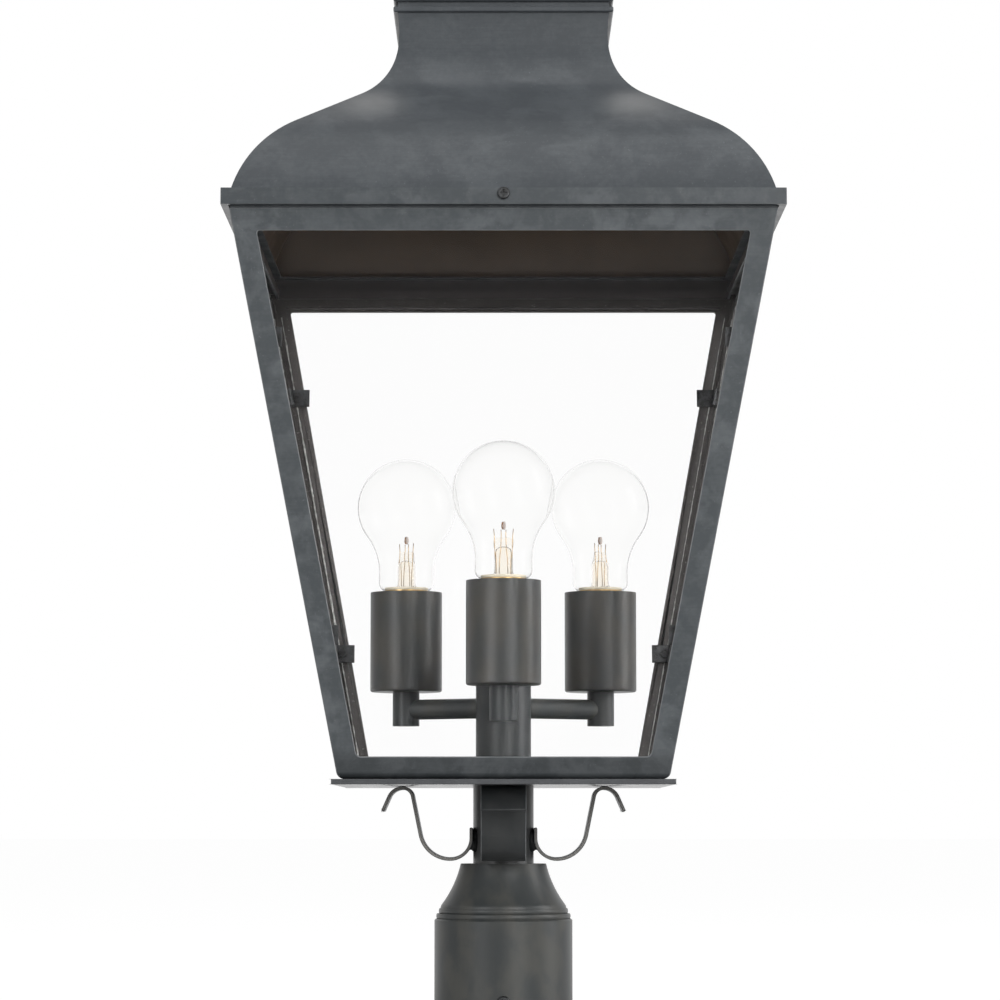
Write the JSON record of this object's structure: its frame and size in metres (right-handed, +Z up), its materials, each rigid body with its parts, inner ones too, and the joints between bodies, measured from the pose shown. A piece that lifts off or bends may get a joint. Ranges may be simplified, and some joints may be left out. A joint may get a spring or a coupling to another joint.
{
  "type": "post top lantern",
  "caption": "Square tapered post top lantern with glazed frames, a lift-off ogee roof, clear globe lamps on arms, scroll straps and a slip-over post fitter",
  "frame": {"origin": "centre of the post fitter's bottom rim", "axes": "+Z up along the lantern's axis; the front, with the nearest lamp, faces -Y; +X is to the right of a person who faces the front"},
  "size_m": [0.321, 0.321, 0.6985],
  "materials": {
    "graphite_paint": "mottled graphite grey paint, satin",
    "window_glass": "clear flat glass",
    "bulb_glass": "clear blown glass",
    "lamp_cap": "rolled thread, satin",
    "filament_wire": "warm drawn wire",
    "dark_steel": "blackened steel",
    "plated_steel": "zinc plated",
    "holder_body": "moulded, matt",
    "holder_brass": "bright brass"
  },
  "bodies": {
    "lantern": {"arm_front": "graphite_paint", "arm_left": "graphite_paint", "arm_right": "graphite_paint", "base_plate": "graphite_paint", "clip_screws": "dark_steel", "column": "graphite_paint", "column_cap": "graphite_paint", "frame_back": "graphite_paint", "frame_front": "graphite_paint", "frame_left": "graphite_paint", "frame_right": "graphite_paint", "glass_pane_back": "window_glass", "glass_pane_front": "window_glass", "glass_pane_left": "window_glass", "glass_pane_right": "window_glass", "holder_contacts": "holder_brass", "holder_shells": "holder_brass", "knuckle_front": "graphite_paint", "knuckle_left": "graphite_paint", "knuckle_right": "graphite_paint", "lampholders": "holder_body", "locknuts": "plated_steel", "lower_corner_clips": "dark_steel", "post_fitter": "graphite_paint", "scroll_strap_back": "graphite_paint", "scroll_strap_front": "graphite_paint", "scroll_strap_left": "graphite_paint", "scroll_strap_right": "graphite_paint", "socket_cover_front": "graphite_paint", "socket_cover_left": "graphite_paint", "socket_cover_right": "graphite_paint", "stem": "graphite_paint", "tie_tube": "plated_steel", "top_ring": "graphite_paint", "upper_corner_clips": "dark_steel"},
    "roof": {"brim": "graphite_paint", "brim_screws": "dark_steel", "neck_plate": "graphite_paint", "neck_band": "graphite_paint", "cap_plate": "graphite_paint", "roof_cap": "graphite_paint", "finial": "graphite_paint", "finial_nut": "plated_steel", "roof_panel_front": "graphite_paint", "roof_panel_right": "graphite_paint", "roof_panel_back": "graphite_paint", "roof_panel_left": "graphite_paint"},
    "lamp_front": {"bulb_glass_front": "bulb_glass", "bulb_cap_front": "lamp_cap", "filament_front": "filament_wire"},
    "lamp_right": {"bulb_glass_right": "bulb_glass", "bulb_cap_right": "lamp_cap", "filament_right": "filament_wire"},
    "lamp_left": {"bulb_glass_left": "bulb_glass", "bulb_cap_left": "lamp_cap", "filament_left": "filament_wire"},
    "grip_front": {"set_screw_front": "dark_steel"},
    "grip_right": {"set_screw_right": "dark_steel"},
    "grip_left": {"set_screw_left": "dark_steel"}
  },
  "joints": [
    {"name": "roof_lift", "type": "slide", "parent": "lantern", "child": "roof", "axis": [0, 0, 1], "range_m": [0, 0.15]},
    {"name": "lamp_front_out", "type": "slide", "parent": "lantern", "child": "lamp_front", "axis": [0, 0, 1], "range_m": [0, 0.03]},
    {"name": "lamp_right_out", "type": "slide", "parent": "lantern", "child": "lamp_right", "axis": [0, 0, 1], "range_m": [0, 0.03]},
    {"name": "lamp_left_out", "type": "slide", "parent": "lantern", "child": "lamp_left", "axis": [0, 0, 1], "range_m": [0, 0.03]},
    {"name": "grip_front_in_out", "type": "slide", "parent": "lantern", "child": "grip_front", "axis": [0, -1, 0], "range_m": [-0.003, 0.01]},
    {"name": "grip_right_in_out", "type": "slide", "parent": "lantern", "child": "grip_right", "axis": [0.866, 0.5, 0], "range_m": [-0.003, 0.01]},
    {"name": "grip_left_in_out", "type": "slide", "parent": "lantern", "child": "grip_left", "axis": [-0.866, 0.5, 0], "range_m": [-0.003, 0.01]}
  ]
}
